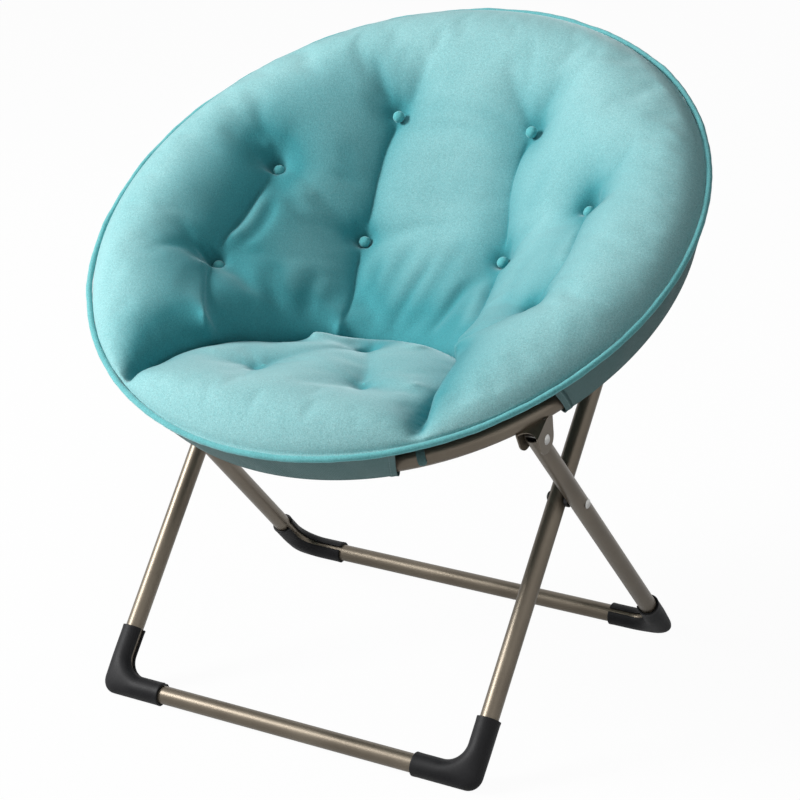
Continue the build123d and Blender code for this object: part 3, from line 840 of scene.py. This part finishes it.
def add_buttons(name, tufts, body, node, material):
    """Covered buttons: a dome that turns under at its edge, tilted as the bowl is at its tuft."""
    down = np.linspace(0.0, 0.62 * math.pi, BUTTON_ROWS)[:, None]
    turn = np.linspace(0, FULL_TURN, BUTTON_SIDES, endpoint=False)[None, :]
    out = 7.5 * np.sin(down) ** 0.9
    rise = 6.0 * np.cos(down) + 9.0
    points, faces = [], []
    for number, (across, up, height) in enumerate(tufts):
        away = math.hypot(across, up)
        slope = 0.62 * min(away / 234.0, 1.0)
        outward = np.array((across, up, 0.0)) / max(away, 1e-6)
        axis = np.array((0.0, 0.0, 1.0)) * math.cos(slope) - outward * math.sin(slope)
        side = np.cross(axis, (0.3, 0.9, 0.2))
        side /= np.linalg.norm(side)
        other = np.cross(axis, side)
        pinch = 1.0 + 0.03 * np.cos(7 * turn + number)
        spot = np.array((across, up, height)) + (
            (out * pinch * np.cos(turn))[..., None] * side
            + (out * pinch * np.sin(turn))[..., None] * other
            + (rise * np.ones_like(turn))[..., None] * axis
        )
        corner_rows, corner_columns = grid_faces(BUTTON_ROWS, BUTTON_SIDES, close_columns=True)
        cells = (corner_rows + number * BUTTON_ROWS) * BUTTON_SIDES + corner_columns % BUTTON_SIDES
        points.append(ring_place(spot[..., 0], spot[..., 1], spot[..., 2]).reshape(-1, 3))
        faces += cells.tolist()
    piece = make_piece(name, np.concatenate(points), faces, material)
    mend(piece)
    finer(piece)
    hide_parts(node)
    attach(piece, body)


def mend(piece, reach=0.00002, ends=()):
    """Close open ends, join the points that fall together, and turn every face outwards."""
    shape = bmesh.new()
    shape.from_mesh(piece.data)
    shape.verts.ensure_lookup_table()
    for end in ends:
        shape.faces.new([shape.verts[k] for k in end]).smooth = True
    if reach:
        bmesh.ops.remove_doubles(shape, verts=shape.verts, dist=reach)
    bmesh.ops.recalc_face_normals(shape, faces=shape.faces)
    shape.to_mesh(piece.data)
    shape.free()


# -------- lining, sleeves and tabs
def add_lining(material):
    """The cloth under the cushion: the underside's profile turned about the axis, with gathers."""
    s = np.linspace(0.0, 1.0, 90)[:, None]
    angle = np.linspace(0, FULL_TURN, 480, endpoint=False)[None, :]
    radius = (SEAM_RADIUS + 0.4) * (1 - (1 - s) ** 1.4) * np.ones_like(angle)
    slack = 0.5 + 0.5 * np.sin(5 * angle + 1) * np.sin(3 * angle)
    gather = np.sin(44 * angle + 1.2 * np.sin(5 * angle)) * smooth_step((radius - 250.0) / 60.0)
    gather *= smooth_step((371.0 - radius) / 30.0)
    height = under_height(np.minimum(radius, SEAM_RADIUS)) - 1.5 + 0.5 * gather * slack
    height = height - 2.6 * smooth_step((336.0 - radius) / 12.0)
    points = turned_place(angle, radius, height)
    size = (0.45, FULL_TURN * 0.3)
    piece = grid_piece("lining", points, material, closed=(False, True), flip=True, size=size)
    mend(piece)
    solid_wall(piece, 0.0012)
    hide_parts("lining_seat", "lining_back")
    hinge_blend(piece, WIDE_BEND)


SKIRT_ROWS = 22
SLEEVE_REACH = 14.8


def sleeve_section(count=64):
    """The skirt's section: down from the seam, round under the ring's tube and up inside it."""
    turn = np.linspace(math.radians(-16.0), math.radians(-212.0), count)
    circle = SLEEVE_REACH * np.stack((np.cos(turn), np.sin(turn)), axis=1) + (RING_RADIUS, 0.0)
    drop = np.linspace(0.0, 1.0, SKIRT_ROWS, endpoint=False)[:, None]
    seam = np.array(((SEAM_RADIUS + 1.2, PIPING_HEIGHT - 4.2),))
    skirt = seam * (1 - drop) + circle[:1] * drop
    return np.concatenate((skirt, circle))


def add_sleeve(name, start, end, node, material, thread, skew, body=None):
    """A skirt sewn to the cushion's seam and closed round the ring, hemmed at both ends.

    The section is carried from one angle to the other; shallow folds run down the skirt, and
    a double hem stands 0.8 mm proud for the last 9 mm. The two skews, in degrees, are how much
    further out the ends lie at the seam and under the tube.
    """
    section = sleeve_section()
    rows = max(int(abs(end - start) * 2.2), 24)
    share = np.linspace(0.0, 1.0, rows)
    share = np.sort(np.concatenate((share, (0.004, 0.02, 0.024, 0.976, 0.98, 0.996))))
    down = np.clip(np.arange(len(section)) / SKIRT_ROWS, 0.0, 1.0)[None, :]
    spread = skew[0] * (1 - down) + skew[1] * down
    width = end - start + 2 * spread
    angle = np.radians((start + end) / 2 + (share[:, None] - 0.5) * width)
    arc = RING_RADIUS * abs(math.radians(end - start))
    edge = np.minimum(share, 1 - share)[:, None] * arc
    radius, height = section[None, :, 0], section[None, :, 1]
    belly = np.sin(down * math.pi)
    folds = 1.0 * np.sin(31 * angle + 0.7 * np.sin(9 * angle)) + 0.7 * np.sin(53 * angle + 2.0)
    swing = 1.8 * belly + 0.9 * folds * belly + 0.35 * folds * (1 - down)
    hem = 0.8 * smooth_step((9.5 - edge) / 1.2) + 0.5 * smooth_step((3.0 - edge) / 3.0)
    centre = np.stack((radius - RING_RADIUS, height), axis=-1)
    outward = centre / np.linalg.norm(centre, axis=-1, keepdims=True)
    skirt_out = np.array((0.96, -0.28))
    mixed = outward * down[..., None] + skirt_out * (1 - down[..., None])
    radius = radius + (swing + hem) * mixed[..., 0]
    height = height + (swing + hem) * mixed[..., 1]
    points = turned_place(angle, radius, height)
    piece = grid_piece(name, points, material, size=(arc / 1000.0, 0.13))
    solid_wall(piece, 0.0011)
    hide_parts(node)
    stitches = hem_stitches(name + "_stitches", edge, points, thread)
    for sewn in (piece, stitches):
        if body:
            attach(sewn, body)
        else:
            hinge_blend(sewn, SLEEVE_BEND)


def hem_stitches(name, edge, points, thread):
    """Short raised stitches in a row 6.5 mm from each end of a sleeve.

    A stitch is a four-sided loft with three sections along the row: narrow, wide and raised,
    and narrow again.
    """
    first = np.argmin(np.abs(edge[: len(edge) // 2, 0] - 6.5))
    width = np.array((0.00012, 0.00038, 0.00012))[:, None]
    lift = np.array((0.0, 0.00035, 0.0))[:, None]
    made = []
    for row, inward in ((first, 1), (len(edge) - 1 - first, -1)):
        path, across = points[row], points[row + inward] - points[row]
        across /= np.linalg.norm(across, axis=1, keepdims=True)
        steps = np.linalg.norm(np.diff(path, axis=0), axis=1)
        length = np.concatenate(([0.0], np.cumsum(steps)))
        middle = np.arange(0.004, length[-1] - 0.004, 0.0042)
        at = middle[:, None] + (-0.0013, 0.0, 0.0013)
        spot = np.stack([np.interp(at, length, path[:, k]) for k in range(3)], axis=-1)
        side = np.stack([np.interp(at, length, across[:, k]) for k in range(3)], axis=-1)
        run = spot[:, 2:] - spot[:, :1]
        run /= np.linalg.norm(run, axis=-1, keepdims=True)
        up = inward * np.cross(side, run)
        aside, above = side * width, up * (lift + width)
        loop = (spot + aside, spot + above, spot - aside, spot - up * width)
        made.append(np.stack(loop, axis=2).reshape(-1, 12, 3))
    made = np.concatenate(made)
    cell_rows, cell_columns = grid_faces(3, 4, close_columns=True)
    cells = np.concatenate((cell_rows * 4 + cell_columns % 4, ((3, 2, 1, 0), (8, 9, 10, 11))))
    faces = cells + 12 * np.arange(len(made))[:, None, None]
    piece = make_piece(name, made, faces.reshape(-1, 4).tolist(), thread)
    mend(piece, 1e-7)
    return piece


def rounded_end(along, start, length):
    """1, and from the start a quarter circle down to 0."""
    return np.sqrt(1.0 - ((along - start) / length).clip(0, 1) ** 2)


TAB_ROWS, TAB_SIDES = 34, 20


def add_tab(name, side, node, material):
    """A small tab of webbing over the top of the ring's tube, with a rounded end.

    It is a closed loop round the strip's thickness, carried over the tube from the inside.
    """
    along = np.linspace(0.0, 1.0, TAB_ROWS)[:, None]
    around = np.linspace(0, FULL_TURN, TAB_SIDES, endpoint=False)[None, :]
    turn = np.radians(150.0 - 158.0 * along)
    half = 4.9 * rounded_end(along, 0.84, 0.165) + 0.02
    thick = 1.1 * rounded_end(along, 0.9, 0.102) + 0.02
    middle = math.radians(-60.0 if side > 0 else -120.0)
    angle = middle + half * np.cos(around) / RING_RADIUS
    reach = 12.4 + thick * np.sin(around)
    points = turned_place(angle, RING_RADIUS + reach * np.cos(turn), reach * np.sin(turn))
    piece = grid_piece(name, points, material, closed=(False, True), size=(0.04, 0.02))
    count = TAB_ROWS * TAB_SIDES
    mend(piece, 0.0, ends=(range(TAB_SIDES), range(count - TAB_SIDES, count)))
    finer(piece)
    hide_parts(node)
    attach(piece, "seat_arc")


# -------- boots
# height of the floor bars' middle, the boot's radius, the tube's bend and the boot's corner
BAR_HEIGHT = 13.5
BOOT_OUT = 14.1
BEND = 38.0
CORNER = 17.0
STRAIGHT_ROWS, BEND_ROWS = 16, 36


def corner_reach(turn):
    """How far the boot's square, rounded corner lies from the middle of the tube's bend.

    Two straight sides stand BEND + BOOT_OUT from that middle, with a circle between them.
    """
    side = BEND + BOOT_OUT
    across, up = np.cos(turn), np.sin(turn)
    inset = side - CORNER
    along = inset * (across + up)
    reach = along + np.sqrt(np.maximum(CORNER**2 - 2 * inset**2 + along**2, 0.0))
    rounded = (reach * across > inset) & (reach * up > inset)
    return np.where(rounded, reach, side / np.maximum(across, up))


def add_boot(name, node, side, frame_shape, material):
    """A moulded elbow: its section is carried down the leg, round the bend and along the bar.

    The section is round but for the outside of the bend, where it stretches into the square
    corner, and it is open in a slot on the inside. The sole is cut flat on the floor. The
    frame's shape is its bar's place, its legs' slope and half width, and how far the boot
    reaches up the leg and along the bar.
    """
    bar_y, slope, half_width, up, along = frame_shape
    leg = np.linspace(up - BEND, 0.0, STRAIGHT_ROWS, endpoint=False)
    bend = np.linspace(0.0, math.pi / 2, BEND_ROWS)
    bar = np.linspace(0.0, along - BEND, STRAIGHT_ROWS + 1)[1:]
    upright, level = np.zeros(STRAIGHT_ROWS), np.full(STRAIGHT_ROWS, math.pi / 2)
    still = np.zeros(BEND_ROWS + STRAIGHT_ROWS)
    turn = np.concatenate((upright, bend, level))[:, None]
    down_leg = np.concatenate((leg, still))[:, None]
    along_bar = np.concatenate((still, bar))[:, None]
    end = np.linspace(0.0, 1.0, len(turn))[:, None]
    slot = np.radians(19.0 - 8.0 * smooth_step((end - 0.3) / 0.5))
    around = np.linspace(-1.0, 1.0, 57)[None, :] * (math.pi - slot)
    flare = 1.0 + 0.02 * (smooth_step((0.05 - end) / 0.05) + smooth_step((end - 0.95) / 0.05))
    stretch = (corner_reach(turn) - BEND) / BOOT_OUT
    outward = BOOT_OUT * np.cos(around) * np.where(np.cos(around) > 0, stretch, 1.0) * flare
    sideways = BOOT_OUT * np.sin(around) * flare
    reach = BEND + outward
    x = half_width - BEND + reach * np.cos(turn) - along_bar
    y = BEND - reach * np.sin(turn) + down_leg
    rise = np.array((0.0, slope, 1.0)) / math.hypot(slope, 1.0)
    face = np.array((0.0, 1.0, -slope)) / math.hypot(slope, 1.0)
    base = np.array((0.0, bar_y, BAR_HEIGHT))
    points = base + x[..., None] * (side, 0, 0) + y[..., None] * rise
    points += sideways[..., None] * face
    points[..., 2] = np.maximum(points[..., 2], 0.0)
    piece = grid_piece(name, points / 1000.0, material, flip=side > 0)
    solid_wall(piece, 0.00295)
    edge = piece.modifiers.new("edge", "BEVEL")
    settle(edge, width=0.0005, segments=2, angle_limit=math.radians(50))
    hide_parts(node)
    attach(piece, "front_frame" if name.startswith("front") else "rear_frame")


FRONT_FRAME = (-263.3, 0.8139, 245.7, 70.0, 71.0)
REAR_FRAME = (203.3, -0.9673, 272.5, 65.0, 69.0)


def add_boots(material):
    """The four boots, at the corners of the two leg frames."""
    for side, hand in ((1, "left"), (-1, "right")):
        add_boot("front_elbow_" + hand, "front_boot_" + hand, side, FRONT_FRAME, material)
        add_boot("rear_elbow_" + hand, "rear_boot_" + hand, side, REAR_FRAME, material)


# -------- carried-over parts
def dress(nodes, material):
    """Give CAD parts their finish."""
    for name in nodes:
        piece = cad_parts[name]
        piece.data.materials.clear()
        piece.data.materials.append(material)


def dress_frame():
    """The tubes, brackets, spacers, rivets and hinges keep their CAD shapes."""
    both = ("left", "right")
    paint = powder_coat()
    rivet = plated_steel("rivet_steel", (0.34, 0.34, 0.33), (0.62, 0.62, 0.60), 0.26)
    hinge = plated_steel("hinge_steel", (0.22, 0.22, 0.22), (0.42, 0.42, 0.41), 0.36)
    tubes = ["rear_leg_frame", "front_leg_frame", "seat_ring_tube", "back_ring_tube"]
    tubes += [f"{part}_{side}" for part in ("seat_bracket", "back_bracket") for side in both]
    dress(tubes, paint)
    dress([f"scissor_spacer_{side}" for side in both], plain_plastic())
    rivets = ("seat_rivet", "scissor_rivet", "back_pivot_pin", "back_rivet_heads")
    dress([f"{part}_{side}" for part in rivets for side in both], rivet)
    hinges = ("hinge_fork", "hinge_tongue", "hinge_pin")
    dress([f"{part}_{side}" for part in hinges for side in both], hinge)


# -------- studio
def seen_white(finish, mirrored):
    """1 where the camera looks at it, and a share of that where a glossy surface shows it."""
    camera = finish.node("ShaderNodeLightPath", out="Is Camera Ray")
    glossy = finish.node("ShaderNodeLightPath", out="Is Glossy Ray")
    return camera.math("MAXIMUM", camera, glossy * mirrored)


def add_floor():
    """A pale floor that the camera sees as white, with the chair's soft shadow kept."""
    finish = Finish("studio_floor")
    shade = finish.mix(finish.noise(2.0), (0.80, 0.80, 0.80), (0.82, 0.82, 0.82))
    matt = finish.node("ShaderNodeBsdfDiffuse", inputs={"Color": shade, "Roughness": 0.6})
    glow = finish.node("ShaderNodeEmission", inputs={"Color": (1.0, 1.0, 1.0), "Strength": 1.0})
    white = seen_white(finish, 0.5) * 0.965
    seen = finish.node("ShaderNodeMixShader", inputs={0: white, 1: matt, 2: glow})
    finish.node("ShaderNodeOutputMaterial", inputs={"Surface": seen})
    corners = 30.0 * np.array(((-1, -1, 0), (1, -1, 0), (1, 1, 0), (-1, 1, 0)))
    floor = make_piece("floor", corners, [[0, 1, 2, 3]], finish.material)


def add_lamp(name, place, size, power):
    """A square soft box aimed at the seat."""
    data = bpy.data.lights.new(name, "AREA")
    lamp = stand(name, settle(data, shape="SQUARE", size=size, energy=power))
    lamp.location = place
    aim = Vector((0.0, 0.0, 0.45)) - Vector(place)
    lamp.rotation_euler = aim.to_track_quat("-Z", "Y").to_euler()


def add_studio():
    """Soft boxes, and a world that lights the chair evenly and looks white to the camera."""
    add_floor()
    add_lamp("key", (-2.9, -1.9, 2.5), 1.3, 210.0)
    add_lamp("fill", (2.8, -2.4, 1.6), 2.4, 9.0)
    add_lamp("top", (0.0, -0.6, 3.2), 1.6, 15.0)
    world = bpy.data.worlds.new("studio")
    bpy.context.scene.world = world
    finish = Finish("studio", world)
    soft = {"Color": (0.93, 0.96, 1.0), "Strength": 0.085}
    white = {"Color": (1.0, 1.0, 1.0), "Strength": 1.0}
    shades = [finish.node("ShaderNodeBackground", inputs=inputs) for inputs in (soft, white)]
    inputs = {0: seen_white(finish, 1.0), 1: shades[0], 2: shades[1]}
    shown = finish.node("ShaderNodeMixShader", inputs=inputs)
    finish.node("ShaderNodeOutputWorld", inputs={0: shown})
    bpy.context.scene.view_settings.view_transform = "Standard"


# -------- the chair
set_camera()
add_studio()
dress_frame()
add_cushion(suede("cushion_suede", (0.225, 0.51, 0.53), (0.345, 0.625, 0.64)))
add_piping(suede("piping_suede", (0.125, 0.44, 0.46), (0.185, 0.53, 0.55), 0.7))
button_suede = suede("button_suede", (0.10, 0.44, 0.47), (0.15, 0.51, 0.54), 0.7)
add_buttons("buttons_back", BACK_TUFTS, "back_arc", "tuft_buttons_back", button_suede)
seat_tufts = np.concatenate((SEAT_TUFTS, PAD_BUTTONS))
add_buttons("buttons_seat", seat_tufts, "seat_arc", "tuft_buttons_seat", button_suede)
add_boots(boot_plastic())
cloth = lining_cloth("lining_cloth", (0.066, 0.138, 0.139), (0.136, 0.236, 0.237))
thread = stitch_thread()
add_lining(cloth)
add_sleeve("skirt_front", -117.5, -62.5, "sleeve_front", cloth, thread, (-0.7, -2.4), "seat_arc")
add_sleeve("skirt_left", -33.0, 36.0, "sleeve_left", cloth, thread, (2.2, 0.2))
add_sleeve("skirt_right", 144.0, 213.0, "sleeve_right", cloth, thread, (2.2, 0.2))
add_sleeve("skirt_back", 55.0, 125.0, "sleeve_back", cloth, thread, (1.5, 0.0), "back_arc")
add_tab("tab_loop_left", 1, "tab_left", cloth)
add_tab("tab_loop_right", -1, "tab_right", cloth)
